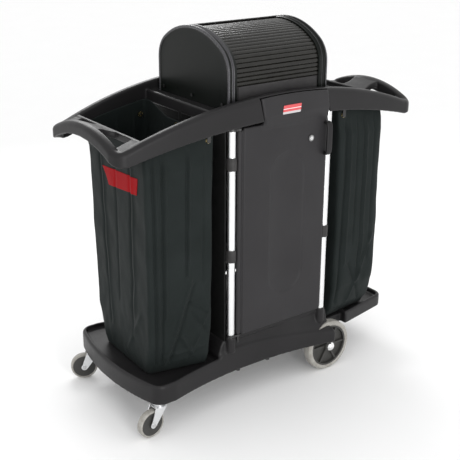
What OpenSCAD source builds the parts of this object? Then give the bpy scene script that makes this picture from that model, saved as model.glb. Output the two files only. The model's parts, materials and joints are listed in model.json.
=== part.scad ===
// Housekeeping cart: wheeled platform, locking cabinet, roll-top hood and two hanging bags.
// Origin on the floor under the middle of the cart, +X along its length, -Y to the front door, +Z up.

/* [Overall] */
// Length over the two end handles
overall_l = 1314; // [1300:2:1330]
// Width over the base platform
overall_w = 559; // [556:1:562]
// Height to the crown of the hood
overall_h = 1359; // [1350:1:1365]

/* [Base] */
// Height of the underside of the base platform
base_z = 129; // [129:1:130]
// Top of the rim round the bag platform
rim_z = 203; // [200:1:206]
// Top of the shoulder under the cabinet
shoulder_z = 222; // [220:1:224]
// Floor on which the bags stand
floor_z = 185; // [184:1:187]
// Radius of the bowed left end of the platform
bow_r = 879; // [860:1:900]

/* [Wheels] */
// Radius of the two fixed wheels
wheel_r = 101.6; // [100:0.2:102]
// Width of the fixed wheels
wheel_w = 38; // [36:1:40]
// Radius of the swivel caster wheels
caster_r = 51; // [50:1:52]
// Distance that a caster wheel trails its swivel axis
caster_trail = 38; // [36:1:40]
// Angle to which the door-side caster is turned
front_caster_yaw = 6; // [-10:2:30]
// Angle to which the other caster is turned
rear_caster_yaw = -24; // [-26:2:10]

/* [Cabinet] */
// Distance of the uprights from the centre along the cart
post_x = 213; // [212:0.5:214]
// Distance of the uprights from the centre across the cart
post_y = 231; // [230:0.5:232]
// Outer radius of the aluminium uprights
post_r = 15; // [14.5:0.25:15]
// Height of the middle of the lower shelf clips
lower_clip_z = 593; // [560:1:620]
// Height of the middle of the upper shelf clips
upper_clip_z = 927; // [925:1:929]

/* [Top frame] */
// Height of the middle of the arched aprons
apron_mid_z = 1152; // [1150:1:1154]
// Height of the ends of the arched aprons
apron_end_z = 1024; // [1022:1:1026]
// Crest of the end handles
handle_crest_z = 1083; // [1080:1:1086]

/* [Hood] */
// Half of the hood's depth
hood_half = 216; // [214:1:218]
// Height at which the hood's round top starts
spring_z = 1222; // [1218:1:1226]
// Radius of the hood's round shoulders
shoulder_r = 100; // [96:1:104]
// Spacing of the slats of the roll-top
slat_pitch = 15; // [14:0.5:15.5]

/* [Bags] */
// Underside of the bags, just above the platform and the end tray
bag_bottom_z = 190; // [188:1:194]
// Wall thickness of the bags
bag_wall = 4; // [4:0.5:5]

/* [Hidden] */
$fn = 96;

// Colours
plastic = [0.13, 0.13, 0.13];
cloth = [0.12, 0.15, 0.14];
metal = [0.86, 0.87, 0.88];
steel = [0.62, 0.63, 0.65];
grey_rubber = [0.72, 0.71, 0.68];
brass = [0.72, 0.6, 0.3];
red = [0.8, 0.1, 0.12];

// Base platform
end_x = overall_l / 2;
half_w = overall_w / 2;
base_left = -597;
base_right = 262;
corner_r = 45;
waist_x = -110;
waist_half = 232;
waist_r = 1450;
rim_t = 14;
cell = 118;
cell_pitch = 126;
skin = 8;
plinth_x = 245;
plinth_z = 262;
sill_z = 275;

// Fixed wheels
axle_x = 255;
axle_r = 8;
wheel_y = 233;
hub_r = 84;
well_r = 106;
run_gap = 0.05;

// Casters
swivel_x = -526;
swivel_y = 238;
caster_w = 28;
core_r = 43;

// End tray
tray_start = 367;
tray_end = 615;
tray_z = 150;
neck_y = 190;
ledge_end = 340;

// Cabinet
post_bottom = 250;
post_top = 1088;
post_wall = 2.2;
clip_h = 45;
clip_r = 18.5;
shelf_t = 12;
shelf_half_x = 229;
shelf_half_y = 228;
panel_x = 231;
panel_t = 5;
door_front = 252;
door_back = 234;
door_left = -176;
door_right = 194;
door_bottom = 281;
door_top = 1046;
hinge_x = -190;
hinge_y = 243;
barrel_r = 8.5;
pin_r = 4;
lock_x = 119;
lock_z = 969;
keeper_z = 922;
handle_x = 174;
handle_z = 896;
handle_h = 128;

// Top frame
plan_r = 5205;
apron_half = 268;
apron_t = 34;
wall = 6;
apron_low_z = 1064;
apron_low_end_z = 974;
ring_x = 545;
ring_z = 1054;
handle_in_x = 622;
deck_x = 262;
deck_z = 1098;
deck_t = 10;
grip_half = 60;

// Hood
hood_x = 216;
hood_rim = 38;
crown_rise = overall_h - spring_z;
crown_r = (pow(hood_half, 2) - 2 * hood_half * shoulder_r + pow(crown_rise, 2))
  / (2 * (crown_rise - shoulder_r));
crown_z = spring_z - (crown_r - crown_rise);
crown_a = atan((hood_half - shoulder_r) / (crown_r - crown_rise));
curtain_x = 204;
curtain_in = 15;
web_t = 2.5;
slat_h = 4;
bar_len = 72;
lip_x = 170;
curtain_start = 8;
slats_per_piece = 4;
piece_len = slats_per_piece * slat_pitch;
joint_gap = 0.5;

// Radius of an arc that drops by d at a distance of l from its top
function arc_r(l, d) = (l * l + d * d) / (2 * d);
// Half width of the top frame at x
function frame_y(x) = apron_half - (plan_r - sqrt(plan_r * plan_r - x * x));

// Arc length of the straight, shoulder and crown stretches of the hood's outline, inset by d
function straight_len() = spring_z - deck_z;
function shoulder_len(d) = (shoulder_r - d) * (90 - crown_a) * PI / 180;
function crown_len(d) = (crown_r - d) * 2 * crown_a * PI / 180;
// Turn from upright at arc length s along the outline inset by d
function turn(s, d) =
  s < straight_len() ? 0 :
  s < straight_len() + shoulder_len(d) ? (s - straight_len()) / (shoulder_r - d) * 180 / PI :
  90 - crown_a + (s - straight_len() - shoulder_len(d)) / (crown_r - d) * 180 / PI;
// Point [y, z] at arc length s along the outline inset by d, pushed out by h
function at(s, d, h) = let(a = turn(s, d))
  s < straight_len() ? [-(hood_half - d) - h, deck_z + s] :
  s < straight_len() + shoulder_len(d) ?
    [-(hood_half - shoulder_r) - (shoulder_r - d + h) * cos(a),
     spring_z + (shoulder_r - d + h) * sin(a)] :
    [(crown_r - d + h) * -cos(a), crown_z + (crown_r - d + h) * sin(a)];

// ---- shared shapes ----

module mirror4() for (sx = [-1, 1], sy = [-1, 1]) scale([sx, sy, 1]) children();

// A flat outline drawn in X and Z, given a thickness from y0 to y1
module along_y(y0, y1) translate([0, y1, 0]) rotate([90, 0, 0]) linear_extrude(y1 - y0) children();
// A flat outline drawn in Y and Z, given a thickness from x0 to x1
module along_x(x0, x1)
  translate([x0, 0, 0]) rotate([90, 0, 90]) linear_extrude(x1 - x0) children();
module rod_y(r, y0, y1) translate([0, y1, 0]) rotate([90, 0, 0]) cylinder(r = r, h = y1 - y0);
module box(x0, x1, y0, y1, z0, z1) translate([x0, y0, z0]) cube([x1 - x0, y1 - y0, z1 - z0]);
module slab(z0, z1) translate([0, 0, z0]) linear_extrude(z1 - z0) children();
module back_to_front() rotate([0, 0, 180]) children();

// ---- base ----

module base_plan(inset = 0, right = base_right) {
  reach = corner_r + 10;
  cx = base_left + bow_r - sqrt(pow(bow_r - corner_r, 2) - pow(half_w - corner_r, 2));
  cy = half_w - corner_r;
  difference() {
    intersection() {
      translate([base_left, -half_w + inset]) square([right - base_left, 2 * (half_w - inset)]);
      translate([base_left + bow_r, 0]) circle(bow_r - inset, $fn = 360);
    }
    for (s = [-1, 1]) {
      translate([waist_x, s * (waist_half + waist_r)]) circle(waist_r + inset, $fn = 360);
      difference() {
        translate([cx - reach, s * (cy + reach / 2) - reach / 2]) square(reach);
        translate([cx, s * cy]) circle(corner_r - inset);
      }
    }
  }
}

module rib_cells(x0, nx, z1) {
  for (i = [0 : nx - 1], j = [-2 : 1])
    translate([x0 + i * cell_pitch, j * cell_pitch + (cell_pitch - cell) / 2, base_z - 1])
      cube([cell, cell, z1 - base_z + 1]);
}

module base_platform() color(plastic) difference() {
  union() {
    slab(base_z, floor_z) base_plan();
    difference() {
      slab(floor_z - 1, rim_z) base_plan(0, -deck_x + 1);
      slab(floor_z, rim_z + 1) base_plan(rim_t, -deck_x - 10);
    }
    intersection() {
      slab(base_z, shoulder_z) base_plan();
      box(-deck_x, base_right, -half_w, half_w, base_z, shoulder_z);
    }
    along_x(-plinth_x, plinth_x) polygon([[-232, floor_z], [-232, shoulder_z], [-227, 246],
      [-227, 250], [-230, 252], [-230, plinth_z], [230, plinth_z], [230, 252], [227, 250],
      [227, 246], [232, shoulder_z], [232, floor_z]]);
    for (s = [-1, 1]) box(-180, 190, s * 226 - 4, s * 226 + 4, plinth_z - 1, sill_z);
    for (sx = [-1, 1], sy = [-1, 1])
      translate([sx * post_x, sy * post_y, 240]) cylinder(r = clip_r, h = 37);
    box(base_right - 1, ledge_end, -150, 150, base_z, tray_z);
  }
  intersection() {
    slab(base_z - 1, floor_z - skin) base_plan(12);
    union() {
      rib_cells(-457, 2, floor_z - skin);
      for (s = [-1, 1]) box(-583, -465, s * 90 - 85, s * 90 + 85, base_z - 1, floor_z - skin);
    }
  }
  intersection() {
    slab(base_z - 1, plinth_z) base_plan(14, base_right - 60);
    rib_cells(-196, 3, plinth_z - skin);
  }
  for (sx = [-1, 1], sy = [-1, 1])
    translate([sx * post_x, sy * post_y, post_bottom]) cylinder(r = post_r + run_gap, h = 40);
  for (s = [-1, 1]) translate([axle_x, s * 228.5, wheel_r]) rod_y(well_r, -25.5, 25.5);
  for (y = [-120, -60, 60, 120]) translate([300, y, base_z - 1]) cylinder(r = 4.2, h = 30);
}

module tray_plan(inset = 0) {
  w0 = 220 - inset;
  w1 = 172 - inset;
  r = 30;
  x1 = tray_end - inset;
  x0 = tray_start + inset;
  difference() {
    polygon([[x0, -w0], [x1, -w1], [x1, w1], [x0, w0]]);
    for (s = [-1, 1]) difference() {
      translate([x1 - r, s * (w1 - 8) - 20]) square([r + 5, 40]);
      translate([x1 - r, s * (w1 - r + 6)]) circle(r);
      translate([x1 - r - 1, -w1 + r]) square([r + 10, 2 * (w1 - r)]);
    }
  }
}

module end_tray() color(plastic) difference() {
  union() {
    slab(tray_z, rim_z) tray_plan();
    box(base_right, tray_start + 10, -neck_y, neck_y, tray_z, floor_z);
  }
  slab(floor_z, rim_z + 1) tray_plan(rim_t);
  box(tray_start - 1, tray_start + rim_t + 1, 4 - neck_y, neck_y - 4, floor_z, rim_z + 1);
  intersection() {
    slab(tray_z - 1, floor_z - skin) tray_plan(12);
    translate([tray_start + 14, 0, tray_z - base_z])
      for (i = [0, 1], j = [-2 : 1])
        translate([i * 112, j * 100 + 4, base_z - 1]) cube([104, 92, 28]);
  }
  for (y = [-120, -60, 60, 120]) translate([300, y, base_z]) cylinder(r = 4.2, h = 80);
}

module axle_brackets() color(steel) for (s = [-1, 1]) scale([1, s, 1]) difference() {
  union() {
    box(axle_x - 35, axle_x + 7, 150, 201, base_z - 5, base_z);
    along_y(196, 201) {
      translate([axle_x - 35, wheel_r]) square([42, base_z - wheel_r]);
      translate([axle_x - 17, wheel_r]) square([34, 24]);
      translate([axle_x, wheel_r]) circle(18);
    }
  }
  translate([axle_x, 0, wheel_r]) rod_y(axle_r + run_gap, 190, 210);
  for (x = [axle_x - 25, axle_x - 5]) translate([x, 170, base_z - 6]) cylinder(r = 3.2, h = 8);
}

module main_axle() color(steel) translate([axle_x, 0, wheel_r]) rod_y(axle_r, -262, 262);

module wheel_caps() color(metal) for (s = [-1, 1]) translate([axle_x, s * 256.3, wheel_r])
  rotate([-s * 90, 0, 0]) rotate_extrude()
    difference() {
      intersection() {
        translate([0, -4]) circle(20);
        square([17, 20]);
      }
      square([axle_r + run_gap, 7]);
    }

module wheel_hub() {
  half = wheel_w / 2;
  difference() {
    union() {
      rod_y(21, -23, 22);
      difference() {
        rod_y(hub_r, -half + 2, half - 2);
        rod_y(hub_r - 7, -half + 1, -5);
        rod_y(hub_r - 7, 5, half);
      }
      for (i = [0 : 5]) rotate([0, i * 60, 0]) box(15, hub_r - 4, -half + 5, half - 5, -4, 4);
    }
    rod_y(axle_r + run_gap, -30, 30);
  }
}

module wheel_tyre() rotate([90, 0, 0]) rotate_extrude()
  polygon([[hub_r, -17], [hub_r + 3, -19], [wheel_r - 6, -19], [wheel_r - 1, -14],
    [wheel_r, -8], [wheel_r, 8], [wheel_r - 1, 14], [wheel_r - 6, 19], [hub_r + 3, 19],
    [hub_r, 17]]);

module front_wheel_hub() color(plastic) translate([axle_x, -wheel_y, wheel_r]) wheel_hub();
module front_wheel_tyre() color(grey_rubber) translate([axle_x, -wheel_y, wheel_r]) wheel_tyre();
module rear_wheel_hub() color(plastic) translate([axle_x, wheel_y, wheel_r])
  scale([1, -1, 1]) wheel_hub();
module rear_wheel_tyre() color(grey_rubber) translate([axle_x, wheel_y, wheel_r]) wheel_tyre();

// ---- swivel casters, drawn round their own swivel axis ----

module at_caster(side) translate([swivel_x, side * swivel_y, 0])
  rotate([0, 0, side < 0 ? front_caster_yaw : rear_caster_yaw]) children();
module at_caster_plate(side) translate([swivel_x, side * swivel_y, 0]) children();

module plate_spots() for (a = [45 : 90 : 315]) rotate([0, 0, a]) translate([24, 0, 0]) children();

module caster_plate() color(metal) difference() {
  union() {
    translate([0, 0, base_z - 4]) cylinder(r = 30, h = 4);
    translate([0, 0, base_z - 16]) cylinder(r = 17, h = 12.5);
    translate([0, 0, 99]) cylinder(r = 7, h = 16);
    translate([0, 0, 99]) cylinder(r = 11, h = 6);
  }
  plate_spots() translate([0, 0, base_z - 5]) cylinder(r = 2.3, h = 6);
}

module caster_fork() color(metal) difference() {
  union() {
    translate([0, 0, 107]) cylinder(r = 25, h = 5.7);
    for (s = [-1, 1]) along_y(s * 18.2 - 1.5, s * 18.2 + 1.5) {
      polygon([[-26, 112.7], [18, 112.7], [18, 104], [-27, caster_r - 6], [-49, caster_r]]);
      translate([-caster_trail, caster_r]) circle(12);
    }
  }
  translate([0, 0, 100]) cylinder(r = 7 + run_gap, h = 14);
  translate([-caster_trail, 0, caster_r]) rod_y(4 + run_gap, -30, 30);
}

module caster_hub() color(plastic) translate([-caster_trail, 0, caster_r]) difference() {
  union() {
    rod_y(core_r, -caster_w / 2 + 3, caster_w / 2 - 3);
    rod_y(12, -16, 16);
  }
  rod_y(4 + run_gap, -20, 20);
}

module caster_tyre() color(grey_rubber) translate([-caster_trail, 0, caster_r])
  rotate([90, 0, 0]) rotate_extrude()
    polygon([[core_r, -11], [core_r + 2, -13], [caster_r - 5, -14], [caster_r - 1, -10],
      [caster_r, -5], [caster_r, 5], [caster_r - 1, 10], [caster_r - 5, 14],
      [core_r + 2, 13], [core_r, 11]]);

module caster_bolt() color(steel) translate([-caster_trail, 0, caster_r]) {
  rod_y(4, -23, 23);
  rod_y(7, -24, -19.8);
  rod_y(7, 19.8, 24);
}

module front_caster_plate() at_caster_plate(-1) caster_plate();
module front_caster_fork() at_caster(-1) caster_fork();
module front_caster_hub() at_caster(-1) caster_hub();
module front_caster_tyre() at_caster(-1) caster_tyre();
module front_caster_bolt() at_caster(-1) caster_bolt();
module rear_caster_plate() at_caster_plate(1) caster_plate();
module rear_caster_fork() at_caster(1) caster_fork();
module rear_caster_hub() at_caster(1) caster_hub();
module rear_caster_tyre() at_caster(1) caster_tyre();
module rear_caster_bolt() at_caster(1) caster_bolt();

// ---- cabinet ----

module upright(sx, sy) color(metal) translate([sx * post_x, sy * post_y, post_bottom])
  difference() {
    cylinder(r = post_r, h = post_top - post_bottom);
    translate([0, 0, -1]) cylinder(r = post_r - post_wall, h = post_top);
  }
module front_left_upright() upright(-1, -1);
module front_right_upright() upright(1, -1);
module rear_left_upright() upright(-1, 1);
module rear_right_upright() upright(1, 1);

// Four clamps on the uprights, each with a tab that carries a shelf corner
module shelf_clips(mid_z) color(plastic) for (sx = [-1, 1], sy = [-1, 1])
  translate([sx * post_x, sy * post_y, mid_z - clip_h / 2]) scale([sx, sy, 1]) difference() {
    union() {
      cylinder(r = clip_r, h = clip_h);
      box(-38, 0, -30, 0, 0, clip_h / 3);
    }
    translate([0, 0, -1]) cylinder(r = post_r + run_gap, h = clip_h + 2);
    translate([-hinge_x - post_x, hinge_y - post_y, -1])
      cylinder(r = barrel_r + 1, h = clip_h + 2);
  }
module lower_shelf_clips() shelf_clips(lower_clip_z);
module upper_shelf_clips() shelf_clips(upper_clip_z);

module shelf(mid_z, notched) color(plastic) difference() {
  z0 = mid_z - clip_h / 2 + clip_h / 3;
  box(-shelf_half_x, shelf_half_x, -shelf_half_y, shelf_half_y, z0, z0 + shelf_t);
  for (sx = [-1, 1], sy = [-1, 1])
    translate([sx * post_x, sy * post_y, z0 - 1]) cylinder(r = clip_r + 0.5, h = shelf_t + 2);
  if (notched) for (a = [0, 180]) rotate([0, 0, a])
    box(lock_x - 19, lock_x + 39, -shelf_half_y - 1, -218, z0 - 1, z0 + shelf_t + 1);
}
module lower_shelf() shelf(lower_clip_z, false);
module upper_shelf() shelf(upper_clip_z, true);

module left_side_panel() color(plastic)
  box(-panel_x - panel_t, -panel_x, -224, 224, plinth_z, deck_z - deck_t);
module right_side_panel() color(plastic)
  box(panel_x, panel_x + panel_t, -224, 224, plinth_z, deck_z - deck_t);

// ---- doors, drawn as the front one ----

module stadium(x, z0, z1, r) {
  translate([x, z0 + r]) circle(r);
  translate([x, z1 - r]) circle(r);
  translate([x - r, z0 + r]) square([2 * r, z1 - z0 - 2 * r]);
}

// The ear's outline from the front, grown by g
module ear_outline(g = 0) intersection() {
  polygon([[-98 - g, 1020], [-98 - g, 1050], [-122 - g, apron_mid_z + 5],
    [174 + g, apron_mid_z + 5], [door_right + g, 1050], [door_right + g, 1020]]);
  translate([0, apron_mid_z - 6 - arc_r(640, apron_mid_z - apron_end_z)])
    circle(arc_r(640, apron_mid_z - apron_end_z) + g, $fn = 360);
}

module door_leaf() color(plastic) difference() {
  union() {
    along_y(-door_front, -door_back)
      translate([door_left, door_bottom]) square([door_right - door_left, door_top - door_bottom]);
    box(hinge_x, door_left + 4, -246, -240, 287, 1040);
    translate([hinge_x, -hinge_y, 287]) cylinder(r = barrel_r, h = 753);
    intersection() {
      along_y(-275, -door_back) ear_outline();
      along_x(-130, 200) polygon([[-270, 1160], [-270, 1078], [-door_front, 1030],
        [-door_back, 1030], [-door_back, door_top], [-255, door_top + 3], [-262, 1060],
        [-262, 1160]]);
    }
  }
  along_y(-door_front - 1, -door_front + 9) stadium(17, 399, 940, 77);
  translate([hinge_x, -hinge_y, 280]) cylinder(r = pin_r + run_gap, h = 770);
  translate([lock_x, 0, lock_z]) rod_y(9 + run_gap, -260, -230);
}

module door_pin() color(steel) translate([hinge_x, -hinge_y, 252]) cylinder(r = pin_r, h = 804);

module door_handle() color(plastic) difference() {
  box(handle_x, handle_x + 26, -279, -door_front, handle_z, handle_z + handle_h);
  box(handle_x - 1, handle_x + 27, -265, -door_front + 1, handle_z + 18,
    handle_z + handle_h - 18);
}

module lock_shell() color(steel) translate([lock_x, 0, lock_z]) difference() {
  union() {
    rod_y(11.5, -door_front - 3, -door_front);
    rod_y(9, -door_front, -228.5);
  }
  rod_y(6.5 + run_gap, -260, -220);
}

module lock_cam() color(metal) translate([lock_x, 0, lock_z]) {
  difference() {
    rod_y(6.5, -door_front - 4, -224);
    box(-1, 1, -door_front - 5, -door_front, -4.5, 4.5);
  }
  box(0, 44, -227, -224, -6, 6);
}

module door_badge() color(red) along_y(-272, -270) {
  translate([-22, 1078]) square([74, 28]);
}

module front_door() door_leaf();
module front_door_pin() door_pin();
module front_door_handle() door_handle();
module front_lock_shell() lock_shell();
module front_lock_cam() lock_cam();
module rear_door() back_to_front() door_leaf();
module rear_door_pin() back_to_front() door_pin();
module rear_door_handle() back_to_front() door_handle();
module rear_lock_shell() back_to_front() lock_shell();
module rear_lock_cam() back_to_front() lock_cam();

// Clamps that tie each hinge pin to its upright
module hinge_brackets() color(steel) for (a = [0, 180], z = [278, 1041.5])
  rotate([0, 0, a]) translate([0, 0, z]) difference() {
    union() {
      translate([-post_x, -post_y, 0]) cylinder(r = 18.5, h = 8);
      translate([hinge_x, -hinge_y, 0]) cylinder(r = 8, h = 8);
      box(-207, hinge_x, -hinge_y - 6, -hinge_y + 8, 0, 8);
    }
    translate([-post_x, -post_y, -1]) cylinder(r = post_r + run_gap, h = 10);
    translate([hinge_x, -hinge_y, -1]) cylinder(r = pin_r + run_gap, h = 10);
  }

module lock_keepers() color(steel) for (a = [0, 180]) rotate([0, 0, a])
  box(lock_x - 29, lock_x + 49, -shelf_half_y - 4, -shelf_half_y, keeper_z, keeper_z + 20);

// ---- top frame ----

module frame_outline(inset = 0) {
  cx = end_x - 48;
  cy = frame_y(cx) - 48;
  difference() {
    intersection() {
      translate([0, plan_r - apron_half]) circle(plan_r - inset, $fn = 360);
      translate([0, apron_half - plan_r]) circle(plan_r - inset, $fn = 360);
      translate([-end_x + inset, -300]) square([2 * (end_x - inset), 600]);
    }
    for (sx = [-1, 1], sy = [-1, 1]) difference() {
      translate([sx * (cx + 30) - 30, sy * (cy + 30) - 30]) square(60);
      translate([sx * cx, sy * cy]) circle(48 - inset);
    }
  }
}

module apron_disc(drop = 0) {
  top_r = arc_r(640, apron_mid_z - apron_end_z);
  translate([0, apron_mid_z - top_r]) circle(top_r - drop, $fn = 360);
}

// The arched band of the aprons, from the front, lowered at its top by drop
module apron_band(drop = 0) {
  low_r = arc_r(640, apron_low_z - apron_low_end_z);
  difference() {
    apron_disc(drop);
    translate([0, apron_low_z - low_r - drop]) circle(low_r, $fn = 360);
    translate([-2000, -4000]) square([4000, 4900]);
  }
}

// The arched band of the end handles, from the end
module handle_band() {
  drop = 61;
  top_r = arc_r(225, drop);
  low_r = arc_r(225, drop + 3);
  difference() {
    translate([0, handle_crest_z - top_r]) circle(top_r, $fn = 180);
    translate([0, handle_crest_z - 43 - low_r]) circle(low_r, $fn = 180);
    translate([-500, 0]) square([1000, 960]);
  }
}

module top_frame() color(plastic) difference() {
  union() {
    // front and rear aprons, hollow from below
    difference() {
      intersection() {
        slab(950, 1170) difference() {
          frame_outline();
          frame_outline_inner(apron_t);
        }
        along_y(-300, 300) apron_band();
      }
      intersection() {
        slab(940, 1170) difference() {
          intersection() {
            frame_outline(wall);
            translate([-600, -300]) square([1200, 600]);
          }
          frame_outline_inner(apron_t - wall);
        }
        along_y(-300, 300) apron_band(wall);
      }
    }
    // webs over the four corners
    intersection() {
      slab(950, 1170) difference() {
        frame_outline(1);
        translate([-ring_x, -300]) square([2 * ring_x, 600]);
        translate([-700, -165]) square([1400, 330]);
      }
      along_y(-300, 300) difference() {
        apron_band();
        translate([0, -8]) apron_disc();
      }
    }
    for (s = [-1, 1]) scale([s, 1, 1]) {
      box(ring_x, ring_x + 12, -208, 208, ring_z - 24, ring_z);
      // end handle
      intersection() {
        slab(950, 1100) difference() {
          frame_outline();
          translate([-handle_in_x, -300]) square([2 * handle_in_x, 600]);
        }
        along_x(0, end_x) handle_band();
      }
      along_y(-grip_half, grip_half) polygon([[ring_x + 6, ring_z - 20], [ring_x + 6, ring_z],
        [handle_in_x + 8, handle_crest_z - 4], [handle_in_x + 8, handle_crest_z - 26]]);
      box(deck_x - 10, deck_x, -230, 230, 1060, deck_z + 6);
    }
    box(-deck_x, deck_x, -232, 232, deck_z - deck_t, deck_z);
    for (sx = [-1, 1], sy = [-1, 1])
      translate([sx * post_x, sy * post_y, 1062]) cylinder(r = 17.5, h = deck_z - deck_t - 1061);
  }
  for (sx = [-1, 1], sy = [-1, 1])
    translate([sx * post_x, sy * post_y, 1000]) cylinder(r = post_r + run_gap, h = 88);
  for (a = [0, 180]) rotate([0, 0, a]) along_y(-300, -256) ear_outline(3);
}

module frame_outline_inner(d) intersection() {
  translate([0, plan_r - apron_half]) circle(plan_r - d, $fn = 360);
  translate([0, apron_half - plan_r]) circle(plan_r - d, $fn = 360);
}

// ---- hood ----

// The hood's outline from the end, inset by d
module hood_outline(d = 0) {
  sx = hood_half - shoulder_r;
  far = 2 * crown_r;
  translate([-(hood_half - d), deck_z]) square([2 * (hood_half - d), spring_z - deck_z]);
  for (s = [-1, 1]) translate([s * sx, spring_z]) circle(shoulder_r - d, $fn = 180);
  intersection() {
    translate([0, crown_z]) circle(crown_r - d, $fn = 360);
    translate([0, crown_z]) polygon([[0, 0], [-far * sin(crown_a), far * cos(crown_a)],
      [far * sin(crown_a), far * cos(crown_a)]]);
  }
}

module hood_end() color(plastic) difference() {
  along_x(hood_x - hood_rim, hood_x) intersection() {
    hood_outline();
    translate([-300, deck_z]) square([600, 400]);
  }
  along_x(hood_x - hood_rim - 1, hood_x - 4) intersection() {
    hood_outline(6);
    translate([-300, deck_z - 1]) square([600, 400]);
  }
}
module hood_right_end() hood_end();
module hood_left_end() scale([-1, 1, 1]) hood_end();

module hood_rear_panel() color(plastic) along_x(-hood_x + hood_rim, hood_x - hood_rim)
  intersection() {
    difference() {
      hood_outline(1);
      hood_outline(5);
    }
    translate([30, deck_z]) square([300, 400]);
  }

// A stretch of the roll-top from arc length s0 to s1, with its slats' round backs
module curtain(s0, s1, slats, back_h) color(plastic) {
  steps = slats * 8;
  a = s0 + joint_gap;
  len = s1 - s0 - 2 * joint_gap;
  rise = [for (i = [0 : steps]) let(u = (i % 8) / 4 - 1) back_h * sqrt(max(0, 1 - u * u))];
  along_x(-curtain_x, curtain_x) polygon(concat(
    [for (i = [0 : steps]) at(a + len * i / steps, curtain_in, 0)],
    [for (i = [steps : -1 : 0]) at(a + len * i / steps, curtain_in, web_t + rise[i])]));
}

module curtain_piece(n) {
  s0 = curtain_start + bar_len + (n - 1) * piece_len;
  curtain(s0, s0 + piece_len, slats_per_piece, slat_h);
}

module roll_top_bar() color(plastic) {
  y = -(hood_half - curtain_in);
  z0 = deck_z + curtain_start;
  along_x(-curtain_x, curtain_x)
    polygon([[y, z0 + joint_gap], [y, z0 + bar_len - joint_gap],
      [y - 4, z0 + bar_len - joint_gap], [y - 4, z0 + joint_gap]]);
  along_x(-lip_x, lip_x)
    polygon([[y - 3, z0 + joint_gap], [y - 3, z0 + bar_len - joint_gap],
      [y - 5, z0 + bar_len - joint_gap], [y - 7.5, z0 + bar_len - 4], [y - 7.5, z0 + joint_gap]]);
  along_x(-lip_x, lip_x)
    polygon([[y - 7, z0 + joint_gap], [y - 7, z0 + 14], [y - 12, z0 + 9], [y - 12, z0 + 3]]);
}
module roll_top_1() curtain_piece(1);
module roll_top_2() curtain_piece(2);
module roll_top_3() curtain_piece(3);
module roll_top_4() curtain_piece(4);
module roll_top_5() curtain_piece(5);
module roll_top_6() curtain_piece(6);

// ---- bags ----

module bag_plan(inset, outer_x, rear_x) polygon([[-outer_x + inset, -230 + inset],
  [-288 - inset, -230 + inset], [-268 - inset, 226 - inset], [-rear_x + inset, 226 - inset]]);
module bag_neck(inset, outer_x) polygon([[-outer_x + inset, -198 + inset],
  [-276 - inset, -220 + inset], [-272 - inset, 220 - inset], [-outer_x + inset, 198 - inset]]);

// The narrow foot that stands between the rims
module bag_foot(inset) polygon([[-518 + inset, -156 + inset], [-292 - inset, -184 + inset],
  [-276 - inset, 184 - inset], [-498 + inset, 154 - inset]]);

// The bag's solid shape, shrunk by t all round
module bag_body(t, outer_x, rear_x, neck_x) {
  slab(bag_bottom_z + t, rim_z + 9 + t) bag_foot(t);
  slab(rim_z + 6 + t, 966 - t) bag_plan(t, outer_x, rear_x);
  slab(960 - t, 1036 + t) bag_neck(t, neck_x);
}

module bag(outer_x, rear_x, neck_x) color(cloth) difference() {
  bag_body(0, outer_x, rear_x, neck_x);
  bag_body(bag_wall, outer_x, rear_x, neck_x);
  at_pegs(-1) rod_y(6.3, -4, 9);
}

module left_bag() bag(552, 512, 540);
module right_bag() scale([-1, 1, 1]) bag(522, 500, 510);

// Peg places: x, y, the way the peg points into the bag and how far its lug stands off the bag
peg_spots = [[300, -218, 0, 6.8], [300, 218, 180, 6.8], [274, 6, 270, 11.8]];
peg_z = 1020;

module at_pegs(sx) for (p = peg_spots) scale([sx, 1, 1])
  translate([p[0], p[1], peg_z]) rotate([0, 0, p[2]]) children();

module bag_grommets() color(brass) for (sx = [-1, 1]) at_pegs(sx) difference() {
  union() {
    rod_y(10, -2.8, -1);
    rod_y(6, -2.8, 7.4);
    rod_y(10, 5.6, 7.4);
  }
  rod_y(4.5, -5, 9);
}

module bag_pins() color(steel) for (sx = [-1, 1], p = peg_spots) scale([sx, 1, 1])
  translate([p[0], p[1], peg_z]) rotate([0, 0, p[2]]) {
    rod_y(4, -p[3], 10);
    box(-7, 7, -p[3], -p[3] + 3, -8, 48);
  }

// ---- fasteners ----

module caster_screws() color(steel) for (s = [-1, 1]) at_caster_plate(s) {
  plate_spots() {
    translate([0, 0, base_z - 5]) cylinder(r = 2, h = 5);
    translate([0, 0, base_z - 8]) cylinder(r = 4.5, h = 4);
  }
}

module frame_bolts() color(steel) {
  for (y = [-120, -60, 60, 120]) translate([300, y, 0]) {
    translate([0, 0, base_z - 4]) cylinder(r = 4, h = 61);
    translate([0, 0, floor_z]) cylinder(r = 7.5, h = 5);
    translate([0, 0, base_z - 6]) cylinder(r = 7.5, h = 6);
  }
  for (sy = [-1, 1], x = [-170, -32]) translate([x, sy * 220, base_z - 9]) cylinder(r = 8, h = 9);
  for (s = [-1, 1], x = [axle_x - 25, axle_x - 5])
    translate([x, s * 170, 0]) {
      translate([0, 0, base_z - 6]) cylinder(r = 3, h = 6);
      translate([0, 0, base_z - 9]) cylinder(r = 6, h = 4);
    }
}

module hood_screws() color(steel) for (sx = [-1, 1], y = [-180, 0, 180])
  scale([sx, 1, 1]) translate([hood_x, y, 1120]) rotate([0, 90, 0]) cylinder(r = 6, h = 2.5);

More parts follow.
